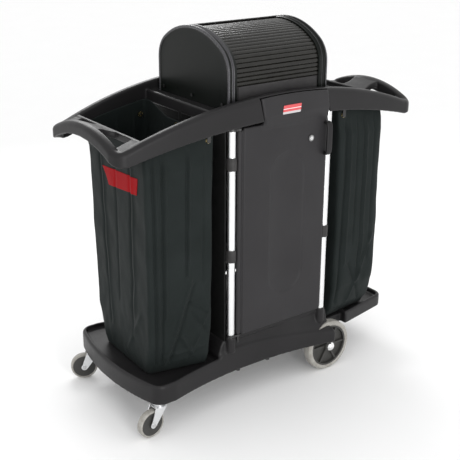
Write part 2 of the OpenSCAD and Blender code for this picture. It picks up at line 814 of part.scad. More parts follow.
base_platform();
end_tray();
axle_brackets();
main_axle();
wheel_caps();
front_wheel_hub();
front_wheel_tyre();
rear_wheel_hub();
rear_wheel_tyre();
front_caster_plate();
front_caster_fork();
front_caster_hub();
front_caster_tyre();
front_caster_bolt();
rear_caster_plate();
rear_caster_fork();
rear_caster_hub();
rear_caster_tyre();
rear_caster_bolt();
front_left_upright();
front_right_upright();
rear_left_upright();
rear_right_upright();
lower_shelf_clips();
upper_shelf_clips();
lower_shelf();
upper_shelf();
left_side_panel();
right_side_panel();
top_frame();
hood_left_end();
hood_right_end();
hood_rear_panel();
roll_top_bar();
roll_top_1();
roll_top_2();
roll_top_3();
roll_top_4();
roll_top_5();
roll_top_6();
front_door();
front_door_pin();
front_door_handle();
front_lock_shell();
front_lock_cam();
door_badge();
rear_door();
rear_door_pin();
rear_door_handle();
rear_lock_shell();
rear_lock_cam();
hinge_brackets();
lock_keepers();
left_bag();
right_bag();
bag_grommets();
bag_pins();
caster_screws();
frame_bolts();
hood_screws();
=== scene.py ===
import json
import math

import bmesh
import bpy
from mathutils import Matrix, Vector, noise


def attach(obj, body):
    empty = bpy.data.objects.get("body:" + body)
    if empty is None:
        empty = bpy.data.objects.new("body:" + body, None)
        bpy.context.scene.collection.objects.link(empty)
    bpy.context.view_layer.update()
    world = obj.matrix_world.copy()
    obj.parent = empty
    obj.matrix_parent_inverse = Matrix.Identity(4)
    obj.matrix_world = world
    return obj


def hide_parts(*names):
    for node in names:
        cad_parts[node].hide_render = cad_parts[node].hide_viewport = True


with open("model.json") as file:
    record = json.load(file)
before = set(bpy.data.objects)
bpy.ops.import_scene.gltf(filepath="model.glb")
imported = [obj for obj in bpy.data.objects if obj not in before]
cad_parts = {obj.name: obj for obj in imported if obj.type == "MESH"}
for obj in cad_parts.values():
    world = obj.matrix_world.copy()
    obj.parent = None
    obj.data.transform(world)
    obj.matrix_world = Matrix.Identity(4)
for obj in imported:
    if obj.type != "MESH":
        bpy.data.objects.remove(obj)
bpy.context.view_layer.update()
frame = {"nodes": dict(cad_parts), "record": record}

MM = 0.001
NODES = frame["nodes"]

# Sizes in millimetres that several pieces share, the same as in the CAD.
POST_X, POST_Y = 213, 231
TRAY_JOIN_X = 262
WHEEL_X, WHEEL_Z = 255, 101.6
DECK_Z = 1098.0
DOOR_LEFT, DOOR_RIGHT, DOOR_FOOT, DOOR_HEAD = 176, 194, 281, 1049
DOOR_FACE_Y, DOOR_BACK_Y = -252, -234
PIN_X, PIN_Y = -190, -243
LOCK_X, LOCK_Z = 119, 969
HEM_Z = 1036
WEAVE_PITCH = 0.0022
METAL_DULLING = 0.12


# ---- mesh helpers, all in millimetres until the mesh is made ----

def clamp(v, lo=0.0, hi=1.0):
    return max(lo, min(hi, v))


def smooth(v, lo=0.0, hi=1.0):
    t = clamp((v - lo) / (hi - lo))
    return t * t * (3 - 2 * t)


def lerp(a, b, t):
    return a + (b - a) * t


def curve_through(knots, v):
    """Straight-line interpolation in a list of (place, value)."""
    if v <= knots[0][0]:
        return knots[0][1]
    for (a, fa), (b, fb) in zip(knots, knots[1:]):
        if v <= b:
            return lerp(fa, fb, (v - a) / (b - a))
    return knots[-1][1]


def new_object(name, verts, faces, smooth_shade=True):
    mesh = bpy.data.meshes.new(name)
    mesh.from_pydata([(x * MM, y * MM, z * MM) for x, y, z in verts], [], faces)
    mesh.validate()
    mesh.polygons.foreach_set("use_smooth", [smooth_shade] * len(mesh.polygons))
    obj = bpy.data.objects.new(name, mesh)
    bpy.context.scene.collection.objects.link(obj)
    return obj


def loft(rings, closed_loft=False, caps=True):
    """Quads between closed rings of equal length; returns verts, faces."""
    n = len(rings[0])
    verts = [p for ring in rings for p in ring]
    faces = []
    rows = len(rings) if closed_loft else len(rings) - 1
    for i in range(rows):
        a, b = i * n, ((i + 1) % len(rings)) * n
        for j in range(n):
            k = (j + 1) % n
            faces.append((a + j, a + k, b + k, b + j))
    if caps and not closed_loft:
        faces.append(tuple(range(n))[::-1])
        last = (len(rings) - 1) * n
        faces.append(tuple(range(last, last + n)))
    return verts, faces


def join_parts(name, parts):
    verts, faces = [], []
    for v, f in parts:
        base = len(verts)
        verts += v
        faces += [tuple(i + base for i in face) for face in f]
    return new_object(name, verts, faces)


def box_part(x0, x1, y0, y1, z0, z1):
    ring = [(x0, y0), (x1, y0), (x1, y1), (x0, y1)]
    return loft([[(x, y, z) for x, y in ring] for z in (z0, z1)])


def tube_part(cx, cy, r, z0, z1, n=40):
    ring = [(cx + r * math.cos(t * math.tau / n), cy + r * math.sin(t * math.tau / n)) for t in range(n)]
    return loft([[(x, y, z) for x, y in ring] for z in (z0, z1)])


def rod_part(cx, cz, r, y0, y1, n=64):
    ring = [(cx + r * math.cos(t * math.tau / n), cz + r * math.sin(t * math.tau / n)) for t in range(n)]
    return loft([[(x, y, z) for x, z in ring] for y in (y1, y0)])


def prism_part(outline, y0, y1):
    """An outline in x and z, counted round, made into a prism from y0 to y1."""
    return loft([[(x, y, z) for x, z in outline] for y in (y1, y0)])


def fix_normals(obj):
    bm = bmesh.new()
    bm.from_mesh(obj.data)
    bmesh.ops.recalc_face_normals(bm, faces=bm.faces)
    bm.to_mesh(obj.data)
    bm.free()


def apply_modifiers(obj):
    graph = bpy.context.evaluated_depsgraph_get()
    mesh = bpy.data.meshes.new_from_object(obj.evaluated_get(graph))
    old = obj.data
    obj.modifiers.clear()
    obj.data = mesh
    bpy.data.meshes.remove(old)
    mesh.polygons.foreach_set("use_smooth", [True] * len(mesh.polygons))


def cut(obj, parts):
    """Takes each part away from obj."""
    for part in parts:
        tool = join_parts("cutter", [part])
        fix_normals(tool)
        mod = obj.modifiers.new("cut", "BOOLEAN")
        mod.operation = "DIFFERENCE"
        mod.solver = "EXACT"
        mod.object = tool
        apply_modifiers(obj)
        bpy.data.objects.remove(tool)


def fuse(obj, voxel, rounds):
    """Melts overlapping closed shells into one moulded shape with soft edges."""
    mod = obj.modifiers.new("melt", "REMESH")
    mod.mode = "VOXEL"
    mod.voxel_size = voxel * MM
    mod.use_smooth_shade = True
    ease = obj.modifiers.new("ease", "SMOOTH")
    ease.factor = 0.5
    ease.iterations = rounds
    apply_modifiers(obj)


# ---- materials ----

def node_material(name):
    mat = bpy.data.materials.new(name)
    mat.use_nodes = True
    nodes, links = mat.node_tree.nodes, mat.node_tree.links
    bsdf = nodes["Principled BSDF"]
    return mat, nodes, links, bsdf


def place(nodes, links, scale=(1, 1, 1)):
    """Object coordinates in metres, scaled."""
    coord = nodes.new("ShaderNodeTexCoord")
    mapping = nodes.new("ShaderNodeMapping")
    mapping.inputs["Scale"].default_value = scale
    links.new(coord.outputs["Object"], mapping.inputs["Vector"])
    return mapping.outputs["Vector"]


def noise_tex(nodes, links, vector, scale, detail=4.0, roughness=0.5):
    tex = nodes.new("ShaderNodeTexNoise")
    tex.inputs["Scale"].default_value = scale
    tex.inputs["Detail"].default_value = detail
    tex.inputs["Roughness"].default_value = roughness
    links.new(vector, tex.inputs["Vector"])
    return tex.outputs["Fac"]


def ramp(nodes, links, value, stops):
    node = nodes.new("ShaderNodeValToRGB")
    links.new(value, node.inputs["Fac"])
    elements = node.color_ramp.elements
    elements[0].position, elements[0].color = stops[0][0], (*stops[0][1], 1)
    elements[1].position, elements[1].color = stops[-1][0], (*stops[-1][1], 1)
    for pos, colour in stops[1:-1]:
        elements.new(pos).color = (*colour, 1)
    return node.outputs["Color"]


def spread(nodes, links, value, lo, hi):
    node = nodes.new("ShaderNodeMapRange")
    node.inputs["To Min"].default_value = lo
    node.inputs["To Max"].default_value = hi
    links.new(value, node.inputs["Value"])
    return node.outputs["Result"]


def mix_colour(nodes, links, fac, a, b):
    node = nodes.new("ShaderNodeMix")
    node.data_type = "RGBA"
    for socket, value in ((node.inputs[0], fac), (node.inputs[6], a), (node.inputs[7], b)):
        if isinstance(value, (tuple, float, int)):
            socket.default_value = (*value, 1) if isinstance(value, tuple) else value
        else:
            links.new(value, socket)
    return node.outputs[2]


def maths(nodes, links, op, a, b=None):
    node = nodes.new("ShaderNodeMath")
    node.operation = op
    for socket, value in ((node.inputs[0], a), (node.inputs[1], b)):
        if value is None:
            continue
        if isinstance(value, (float, int)):
            socket.default_value = value
        else:
            links.new(value, socket)
    return node.outputs[0]


def bump(nodes, links, bsdf, height, strength, distance):
    node = nodes.new("ShaderNodeBump")
    node.inputs["Strength"].default_value = strength
    node.inputs["Distance"].default_value = distance
    links.new(height, node.inputs["Height"])
    links.new(node.outputs["Normal"], bsdf.inputs["Normal"])


def moulded_plastic(name, dark, light, rough, grain=1.0, worn=(0.06, 0.058, 0.057), gloss=0.32):
    """Injection-moulded plastic: fine leathery grain, slow tone swirls and paler rubbed edges."""
    mat, nodes, links, bsdf = node_material(name)
    vector = place(nodes, links)
    swirl = noise_tex(nodes, links, vector, 5.0, 3.0)
    tone = ramp(nodes, links, swirl, [(0.3, dark), (0.72, light)])
    geometry = nodes.new("ShaderNodeNewGeometry")
    rubbed = noise_tex(nodes, links, vector, 38.0, 5.0)
    edge = maths(nodes, links, "SUBTRACT", geometry.outputs["Pointiness"], 0.515)
    edge = maths(nodes, links, "MULTIPLY", edge, 7.0)
    edge = maths(nodes, links, "MULTIPLY", edge, rubbed)
    edge_node = nodes.new("ShaderNodeClamp")
    links.new(edge, edge_node.inputs["Value"])
    links.new(mix_colour(nodes, links, edge_node.outputs["Result"], tone, worn), bsdf.inputs["Base Color"])
    scuffs = noise_tex(nodes, links, place(nodes, links, (1, 1, 0.25)), 60.0, 6.0, 0.7)
    links.new(spread(nodes, links, scuffs, rough - 0.09, rough + 0.11), bsdf.inputs["Roughness"])
    pores = noise_tex(nodes, links, vector, 900.0, 2.0)
    ripple = noise_tex(nodes, links, vector, 22.0, 2.0)
    height = maths(nodes, links, "ADD", pores, maths(nodes, links, "MULTIPLY", ripple, 1.6))
    bump(nodes, links, bsdf, height, 0.22 * grain, 0.0006)
    bsdf.inputs["Specular IOR Level"].default_value = gloss
    return mat


def bag_cloth(name):
    """Coated woven polyester: a fine basket weave, soft creases and a slight greenish cast."""
    mat, nodes, links, bsdf = node_material(name)
    vector = place(nodes, links)
    big = noise_tex(nodes, links, vector, 7.0, 4.0)
    tone = ramp(nodes, links, big, [(0.3, (0.0098, 0.0128, 0.0121)), (0.75, (0.0155, 0.0192, 0.0188))])
    fibres = noise_tex(nodes, links, place(nodes, links, (1, 1, 0.12)), 420.0, 3.0)
    links.new(mix_colour(nodes, links, spread(nodes, links, fibres, 0.0, 0.3), tone, (0.021, 0.026, 0.026)),
              bsdf.inputs["Base Color"])
    weave = []
    turn = math.tau / WEAVE_PITCH
    for axis in ((turn, 0, 0), (0, turn, 0), (0, 0, turn)):
        wave = nodes.new("ShaderNodeVectorMath")
        wave.operation = "DOT_PRODUCT"
        wave.inputs[1].default_value = axis
        coord = nodes.new("ShaderNodeTexCoord")
        links.new(coord.outputs["Object"], wave.inputs[0])
        weave.append(maths(nodes, links, "SINE", wave.outputs["Value"]))
    across = maths(nodes, links, "ADD", weave[0], weave[1])
    cloth = maths(nodes, links, "MULTIPLY", across, weave[2])
    crease = noise_tex(nodes, links, vector, 30.0, 6.0, 0.62)
    height = maths(nodes, links, "ADD", maths(nodes, links, "MULTIPLY", cloth, 0.12),
                   maths(nodes, links, "MULTIPLY", crease, 3.0))
    bump(nodes, links, bsdf, height, 0.35, 0.0009)
    links.new(spread(nodes, links, big, 0.5, 0.66), bsdf.inputs["Roughness"])
    bsdf.inputs["Specular IOR Level"].default_value = 0.06
    bsdf.inputs["Sheen Weight"].default_value = 0.02
    bsdf.inputs["Sheen Roughness"].default_value = 0.45
    return mat


def metal(name, colour, rough, brushed=(1, 1, 1)):
    """Bare or plated metal: cloudy tone and fine streaks."""
    mat, nodes, links, bsdf = node_material(name)
    vector = place(nodes, links, brushed)
    streak = noise_tex(nodes, links, vector, 300.0, 4.0, 0.6)
    cloud = noise_tex(nodes, links, place(nodes, links), 45.0, 4.0)
    dull = tuple(c * (1 - METAL_DULLING) for c in colour)
    links.new(mix_colour(nodes, links, cloud, colour, dull), bsdf.inputs["Base Color"])
    bsdf.inputs["Metallic"].default_value = 1.0
    links.new(spread(nodes, links, streak, rough - 0.07, rough + 0.1), bsdf.inputs["Roughness"])
    bump(nodes, links, bsdf, streak, 0.08, 0.0002)
    return mat


def rubber(name, colour, dirt):
    """Solid tyre rubber, marked with floor dirt."""
    mat, nodes, links, bsdf = node_material(name)
    vector = place(nodes, links)
    marks = noise_tex(nodes, links, vector, 55.0, 6.0, 0.65)
    tone = ramp(nodes, links, marks, [(0.35, colour), (0.8, dirt)])
    links.new(tone, bsdf.inputs["Base Color"])
    fine = noise_tex(nodes, links, vector, 700.0, 2.0)
    links.new(spread(nodes, links, marks, 0.45, 0.7), bsdf.inputs["Roughness"])
    bump(nodes, links, bsdf, fine, 0.2, 0.0004)
    return mat


PLASTIC = moulded_plastic("structural_plastic", (0.0115, 0.011, 0.0116), (0.0155, 0.0148, 0.0156), 0.4,
                          gloss=0.22)
DOOR = moulded_plastic("door_plastic", (0.0175, 0.0165, 0.0178), (0.022, 0.021, 0.0225), 0.5, gloss=0.26)
# Much paler than the hood walls: the bead colour is a painted highlight, while its gloss and roughness are real.
BEAD_PAINTED_HIGHLIGHT = moulded_plastic("hood_bead_painted_highlight", (0.036, 0.035, 0.04), (0.046, 0.045, 0.05), 0.26, gloss=0.5)
# A darker copy of the structural plastic for the hood walls and rear panel: painted shade.
HOOD_PAINTED_SHADE = moulded_plastic("hood_plastic_painted_shade", (0.0034, 0.0046, 0.0037), (0.0052, 0.0066, 0.0056), 0.3, gloss=0.14)
ROLL = moulded_plastic("roll_top_plastic", (0.003, 0.003, 0.0024), (0.005, 0.0049, 0.004), 0.28, 0.6,
                       (0.02, 0.019, 0.016), 0.36)
PANEL = moulded_plastic("panel_plastic", (0.0035, 0.0038, 0.0037), (0.0055, 0.0059, 0.0058), 0.55, 0.6,
                        (0.014, 0.014, 0.014), 0.12)
HUB = moulded_plastic("hub_plastic", (0.03, 0.03, 0.028), (0.045, 0.044, 0.041), 0.5)
CLOTH = bag_cloth("bag_fabric")
ALUMINIUM = metal("aluminium", (0.9, 0.905, 0.91), 0.3, (1, 1, 0.02))
ZINC = metal("zinc_fork", (0.86, 0.87, 0.88), 0.33)
STEEL = metal("zinc_steel", (0.66, 0.66, 0.66), 0.38)
BRIGHT = metal("bright_metal", (0.92, 0.92, 0.92), 0.16)
BRASS = metal("brass", (0.83, 0.67, 0.33), 0.25)
TYRE = rubber("tyre_grey", (0.36, 0.35, 0.325), (0.2, 0.185, 0.16))
DARK_STEEL = metal("dark_steel", (0.07, 0.07, 0.07), 0.42)
LOCK_METAL = metal("lock_metal", (0.3, 0.3, 0.3), 0.3)

SLOT_MATERIAL = {"structural_plastic": PLASTIC, "roll_top_plastic": ROLL, "panel_plastic": PANEL,
                 "hub_plastic": HUB, "bag_fabric": CLOTH, "aluminium": ALUMINIUM, "zinc_fork": ZINC,
                 "zinc_steel": STEEL, "bright_metal": BRIGHT, "brass": BRASS, "tyre_grey": TYRE}
SLOT_OF = {s["node"]: s["material_slot"] for s in frame["record"]["subparts"]}


def dress(obj, mat):
    obj.data.materials.clear()
    obj.data.materials.append(mat)


for node_name, node_obj in NODES.items():
    if SLOT_OF[node_name] in SLOT_MATERIAL:
        dress(node_obj, SLOT_MATERIAL[SLOT_OF[node_name]])
for node_name in ("bag_pins", "hinge_brackets", "lock_keepers", "frame_bolts", "hood_screws",
                  "front_door_pin", "rear_door_pin"):
    dress(NODES[node_name], DARK_STEEL)
for node_name in ("front_lock_shell", "rear_lock_shell"):
    dress(NODES[node_name], LOCK_METAL)
dress(NODES["roll_top_bar"], DOOR)
# The hood's rear panel takes the same darker hood colour, painted shade.
dress(NODES["hood_rear_panel"], HOOD_PAINTED_SHADE)


def piece(obj, body, slot_name, replaced=(), mat=None):
    dress(obj, mat or SLOT_MATERIAL[slot_name])
    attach(obj, body)
    if replaced:
        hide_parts(*replaced)
    return obj


# ---- top frame ----

PLAN_R = 5205.0
APRON_HALF = 268.0
END_X = 657.0
CORNER_R = 48.0
BAND_T = 34.0


def arc_drop(radius, d):
    return radius - math.sqrt(radius * radius - d * d)


def arc_radius(reach, drop):
    return (reach * reach + drop * drop) / (2 * drop)


TOP_R = arc_radius(640, 128)
LOW_R = arc_radius(640, 90)
GRIP_R = arc_radius(225, 61)


def frame_y(x):
    return APRON_HALF - arc_drop(PLAN_R, x)


def apron_top(x):
    return 1152 - arc_drop(TOP_R, x)


def apron_low(x):
    return 1064 - arc_drop(LOW_R, x)


def grip_top(y):
    return 1083 - arc_drop(GRIP_R, y)


def quarter_loop():
    """Stations (x, y, inward normal, top, low, thickness, hollow) from mid apron to mid handle."""
    corner_x = END_X - CORNER_R
    corner_y = frame_y(corner_x) - CORNER_R
    out = []
    steps = 46
    for i in range(steps + 1):
        x = corner_x * i / steps
        slope = -x / math.sqrt(PLAN_R ** 2 - x * x)
        n = Vector((slope, -1)).normalized()
        hollow = 1 - smooth(x, 560, 600)
        out.append((x, frame_y(x), n, apron_top(x), apron_low(x), BAND_T, hollow))
    start_top, start_low = apron_top(corner_x), apron_low(corner_x)
    stop_top = grip_top(corner_y)
    turns = 14
    for i in range(1, turns):
        t = i / turns
        a = math.pi / 2 * (1 - t)
        x, y = corner_x + CORNER_R * math.cos(a), corner_y + CORNER_R * math.sin(a)
        dip = math.sin(math.pi * t)
        top = lerp(start_top, stop_top, t) - 7 * dip
        low = lerp(start_low, stop_top - 44, t) - 6 * dip
        out.append((x, y, Vector((-math.cos(a), -math.sin(a))), top, low, BAND_T, 0.0))
    rest = 26
    for i in range(rest + 1):
        y = corner_y * (1 - i / rest)
        top = grip_top(y)
        out.append((END_X, y, Vector((-1, 0)), top, top - 43, 35.0, 0.0))
    return out


def band_section(top, low, thick, hollow, outer_r=17.0, inner_r=8.0):
    """Points (inward, z) round an upturned-U band."""
    pts = [(0.0, low + 2), (0.0, (top + low) / 2)]
    for i in range(8):
        a = math.pi / 2 * i / 7
        pts.append((outer_r * (1 - math.cos(a)), top - outer_r * (1 - math.sin(a))))
    for i in range(6):
        a = math.pi / 2 * i / 5
        pts.append((thick - inner_r * (1 - math.sin(a)), top - inner_r * (1 - math.cos(a))))
    pts.append((thick, low + 2))
    pts.append((thick - 1.5, low))
    roof = lerp(low + 1.5, top - 8, hollow)
    pts += [(thick - 6, low), (thick - 7.5, roof), (7.5, roof), (6, low), (1.5, low)]
    return pts


def full_loop():
    q = quarter_loop()
    loop = []
    for sx, sy, rev in ((1, -1, False), (1, 1, True), (-1, 1, False), (-1, -1, True)):
        part = [(sx * x, sy * y, Vector((sx * n.x, sy * n.y)), t, l, th, h) for x, y, n, t, l, th, h in q]
        if rev:
            part = part[::-1]
        loop += part[:-1]
    return loop


def ear_outline(grow):
    """The door ear seen from the front, counted round, grown by a gap."""
    low = 1020.0
    pts = [(-98 - grow, low), (194 + grow, low), (194 + grow, 1050)]
    lid = []
    steps = 24
    for i in range(steps + 1):
        x = lerp(176 + grow, -121 - grow, i / steps)
        lid.append((x, apron_top(x) - 6 + grow))
    return pts + lid + [(-98 - grow, 1050)]


def build_top_frame():
    rings = []
    for x, y, n, top, low, thick, hollow in full_loop():
        rings.append([(x + n.x * d, y + n.y * d, z) for d, z in band_section(top, low, thick, hollow)])
    parts = [loft(rings, closed_loft=True)]
    for s in (-1, 1):
        parts.append(box_part(*sorted((s * 545, s * 557)), -212, 212, 1030, 1054))
        for side in (-1, 1):
            ring_rows = []
            for i in range(9):
                x = s * lerp(548, 630, i / 8)
                z = lerp(1050, apron_top(x) - 3, 0.8)
                y0, y1 = side * 165, side * (frame_y(x) - 10)
                pair = [(x, y0, z - 9), (x, y1, z - 9), (x, y1, z), (x, y0, z)]
                ring_rows.append(pair)
            parts.append(loft(ring_rows))
        rows = []
        for i in range(9):
            t = i / 8
            x = s * lerp(549, 632, t)
            half = lerp(60, 74, abs(2 * t - 1) ** 2)
            top = lerp(1054, 1076, smooth(t))
            rows.append([(x, -half, top - 22), (x, half, top - 22), (x, half * 0.95, top),
                         (x, -half * 0.95, top)])
        parts.append(loft(rows))
        parts.append(box_part(*sorted((s * 252, s * 262)), -230, 230, 1060, 1104))
    parts.append(box_part(-262, 262, -236, 236, 1088, DECK_Z))
    for sx in (-1, 1):
        for sy in (-1, 1):
            parts.append(tube_part(sx * POST_X, sy * POST_Y, 17.5, 1062, 1092))
    obj = join_parts("top_frame_shell", parts)
    fix_normals(obj)
    fuse(obj, 3.2, 3)
    ear = ear_outline(2.2)
    cut(obj, [prism_part(ear, -300, -257), prism_part([(-x, z) for x, z in ear][::-1], 257, 300)])
    return piece(obj, "root", "structural_plastic", ["top_frame"])


# ---- base platform ----

SKIRT_TOP = [(-262, 203), (-256, 212), (-240, 219), (-222, 224), (-190, 225), (-150, 224), (-80, 218.5),
             (15, 210), (114, 197), (216, 184), (262, 179)]
PLINTH_FOOT = [(-262, 246), (-165, 252), (-72, 252), (22, 246), (172, 236), (262, 226)]


def base_half(x):
    waist = 232 + 1450 - math.sqrt(1450 ** 2 - (x + 110) ** 2)
    return min(279.5, waist)


def base_outline():
    """Outer plan of the platform, counted round, with its bowed left end."""
    corner = 45.0
    bow = 879.0
    cy = 279.5 - corner
    cx = -597 + bow - math.sqrt((bow - corner) ** 2 - cy ** 2)
    right = [(262, -y) for y in (0, 90, 180, 230)]
    lower = [(262 - 6 * i * i / 9, -base_half(262 - 6 * i * i / 9) + (3 - i) ** 2 * 1.2) for i in range(4)]
    side = []
    x = 250.0
    while x > cx + 6:
        side.append((x, -base_half(x)))
        x -= 12
    turn = []
    start, stop = -math.pi / 2, -math.pi + math.asin(cy / (bow - corner))
    for i in range(13):
        a = lerp(start, stop, i / 12)
        turn.append((cx + corner * math.cos(a), -cy + corner * math.sin(a)))
    end = []
    y0 = turn[-1][1]
    for i in range(1, 12):
        y = y0 * (1 - i / 12)
        end.append((-597 + bow - math.sqrt(bow ** 2 - y * y), y))
    half = right[1:] + lower + side + turn + end
    centre = [(262, 0)]
    left = [(-597, 0)]
    return centre + half + left + [(x, -y) for x, y in half[::-1]]


def inward_normals(ring):
    out = []
    n = len(ring)
    for i in range(n):
        a, b = Vector(ring[i - 1]), Vector(ring[(i + 1) % n])
        d = (b - a).normalized()
        out.append(Vector((-d.y, d.x)))
    area = sum(ring[i - 1][0] * ring[i][1] - ring[i][0] * ring[i - 1][1] for i in range(n))
    return out if area > 0 else [-v for v in out]


def build_base():
    ring = base_outline()
    normals = inward_normals(ring)
    skirt = []
    for (x, y), n in zip(ring, normals):
        top = curve_through(SKIRT_TOP, x)
        deep = 13.0
        floor = 180.0 if x < -TRAY_JOIN_X else top - 6
        section = [(1.5, 129), (0, 131), (0, top - 12), (0.9, top - 7.5), (3, top - 3.4), (6.2, top - 0.9),
                   (9.5, top), (deep, top - 1.5 if x < -TRAY_JOIN_X else top), (deep + 0.5, floor), (deep, 129)]
        skirt.append([(x + n.x * d, y + n.y * d, z) for d, z in section])
    parts = [loft(skirt, closed_loft=True)]
    inner = [(x + n.x * 10, y + n.y * 10) for (x, y), n in zip(ring, normals)]
    parts.append(loft([[(x, y, z) for x, y in inner] for z in (131, 185)]))
    rows = []
    for i in range(45):
        x = lerp(-264, 260, i / 44)
        half = base_half(x) - 9
        top = curve_through(SKIRT_TOP, x)
        foot = curve_through(PLINTH_FOOT, x)
        edge = 1 - smooth(abs(x), 244, 262)
        peak = lerp(min(foot, top + 8), 262, edge)
        belly = lerp(min(foot, top + 6) - 2, foot, edge)
        inner_y = min(228.5, half - 2)
        prof = [(half, 140), (half, top - 1.5), (lerp(half, inner_y, 0.35), lerp(top, belly, 0.3)),
                (lerp(half, inner_y, 0.75), lerp(top, belly, 0.72)), (inner_y, belly), (inner_y - 1.5, peak - 2),
                (inner_y - 4, peak)]
        rows.append([(x, -y, z) for y, z in prof] + [(x, y, z) for y, z in prof[::-1]])
    parts.append(loft(rows))
    for s in (-1, 1):
        parts.append(box_part(-184, 192, *sorted((s * 222, s * 230)), 255, 275))
        for sx in (-1, 1):
            parts.append(tube_part(sx * POST_X, s * POST_Y, 18.5, 215, 277))
    parts.append(box_part(240, 340, -150, 150, 131, 150))
    obj = join_parts("base_shell", parts)
    fix_normals(obj)
    fuse(obj, 3.6, 3)
    well_r = 106
    cut(obj, [rod_part(WHEEL_X, WHEEL_Z, well_r, *sorted((s * 203, s * 254))) for s in (-1, 1)])
    return piece(obj, "root", "structural_plastic", ["base_platform"])


# ---- end tray ----

def rounded_plan(corners, radius, steps=7):
    """Rounds the corners of a plan outline."""
    out = []
    n = len(corners)
    for i in range(n):
        p, a, b = Vector(corners[i]), Vector(corners[i - 1]), Vector(corners[(i + 1) % n])
        r = radius[i]
        u, v = (a - p).normalized(), (b - p).normalized()
        for k in range(steps + 1):
            t = k / steps
            q = (p + u * r) * (1 - t) ** 2 + p * 2 * t * (1 - t) + (p + v * r) * t ** 2
            out.append((q.x, q.y))
    return out


def build_tray():
    outer = rounded_plan([(367, -220), (615, -172), (615, 172), (367, 220)], (10, 34, 34, 10))
    normals = inward_normals(outer)
    wall = []
    section = [(2, 151), (0, 154), (0, 194), (1, 198.5), (4, 202), (8, 203), (11, 202), (13.5, 198), (15, 184),
               (14, 151)]
    for (x, y), n in zip(outer, normals):
        wall.append([(x + n.x * d, y + n.y * d, z) for d, z in section])
    parts = [loft(wall, closed_loft=True)]
    inner = [(x + n.x * 9, y + n.y * 9) for (x, y), n in zip(outer, normals)]
    parts.append(loft([[(x, y, z) for x, y in inner] for z in (153, 185)]))
    parts.append(box_part(263, 378, -190, 190, 151, 185))
    obj = join_parts("tray_shell", parts)
    fix_normals(obj)
    cut(obj, [box_part(360, 384, -182, 182, 185, 210)])
    fuse(obj, 3.2, 2)
    return piece(obj, "root", "structural_plastic", ["end_tray"])


# ---- doors ----

RECESS_R = 77.0


def stadium_depth(x, z):
    """How far inside the door's long recess a point is, in millimetres."""
    cx, z0, z1 = 17.0, 399.0, 940.0
    cz = clamp(z, z0 + RECESS_R, z1 - RECESS_R)
    return RECESS_R - math.hypot(x - cx, z - cz)


def leaf_front(x, z):
    edge = min(x + DOOR_LEFT, DOOR_RIGHT - x, z - DOOR_FOOT, DOOR_HEAD - z)
    round_off = 4.5 * (1 - math.sqrt(max(0.0, 1 - (1 - clamp(edge / 5.0)) ** 2)))
    d = stadium_depth(x, z)
    dish = 2.5 * smooth(d, -1.5, 3.5) + 9.5 * (1 - (1 - clamp(d / RECESS_R)) ** 2)
    top = 18 * smooth(z, 1024, 1078) * smooth(x, -104, -98)
    return DOOR_FACE_Y + round_off + dish - top


def build_door(turned):
    xs = [-176, -175, -173.5, -171.5, -169] + [lerp(-165, 183, i / 84) for i in range(85)]
    xs += [187, 189.5, 191.5, 193, 194]
    zs = [281, 282, 283.5, 285.5, 288] + [lerp(292, 1038, i / 180) for i in range(181)]
    zs += [1041.5, 1044, 1046, 1047.5, 1049]
    front = [[(x, leaf_front(x, z), z) for x in xs] for z in zs]
    back = [[(x, DOOR_BACK_Y, z) for x in xs] for z in zs]
    nx, nz = len(xs), len(zs)
    verts = [p for grid in (front, back) for row in grid for p in row]
    faces = []

    def at(side, i, j):
        return side * nx * nz + i * nx + j

    for i in range(nz - 1):
        for j in range(nx - 1):
            faces.append((at(0, i, j), at(0, i, j + 1), at(0, i + 1, j + 1), at(0, i + 1, j)))
            faces.append((at(1, i, j), at(1, i + 1, j), at(1, i + 1, j + 1), at(1, i, j + 1)))
    rim = [(0, j) for j in range(nx)] + [(i, nx - 1) for i in range(1, nz)]
    rim += [(nz - 1, j) for j in range(nx - 2, -1, -1)] + [(i, 0) for i in range(nz - 2, 0, -1)]
    for (i, j), (k, m) in zip(rim, rim[1:] + rim[:1]):
        faces.append((at(0, i, j), at(1, i, j), at(1, k, m), at(0, k, m)))
    parts = [(verts, faces)]
    ear_rows = []
    for i in range(41):
        t = i / 40
        x_low = lerp(-98, 194, t)
        x_high = lerp(-120, 176, t)
        col = []
        z_top_here = apron_top(x_high) - 6
        zs_here = [1028, 1040, 1052, 1064, 1078, 1092, 1106, 1120, 1134]
        zs_here += [z_top_here - 5, z_top_here - 1.5, z_top_here]
        for z in zs_here:
            u = clamp((z - 1050) / (1152 - 1050))
            x = lerp(x_low, x_high, u)
            y = DOOR_FACE_Y - 18 * smooth(z, 1024, 1078)
            off = z_top_here - z
            if off < 6:
                y += 5.0 * (1 - math.sqrt(max(0.0, 1 - (1 - off / 6) ** 2)))
            side = min(t, 1 - t) * 292
            if side < 6:
                y += 4.0 * (1 - math.sqrt(max(0.0, 1 - (1 - side / 6) ** 2)))
            col.append((x, y, z))
        back_col = []
        for z in zs_here[::-1]:
            u = clamp((z - 1050) / (1152 - 1050))
            x = lerp(x_low, x_high, u)
            y = min(-236.0, -262.0 + 28 * (1 - smooth(z, 1044, 1062))) if z < 1062 else -261.0
            back_col.append((x, y, z))
        ear_rows.append(col + back_col)
    parts.append(loft(ear_rows))
    parts.append(box_part(PIN_X, -172, PIN_Y - 3, PIN_Y + 3, 287, 1040))
    parts.append(tube_part(PIN_X, PIN_Y, 8.5, 287, 1040))
    obj = join_parts("rear_door_shell" if turned else "front_door_shell", parts)
    fix_normals(obj)
    fuse(obj, 2.6, 2)
    cut(obj, [rod_part(LOCK_X, LOCK_Z, 9.1, -262, -225)])
    if turned:
        obj.data.transform(Matrix.Rotation(math.pi, 4, "Z"))
    side = "rear" if turned else "front"
    return piece(obj, side + "_door", "structural_plastic", [side + "_door"], DOOR)


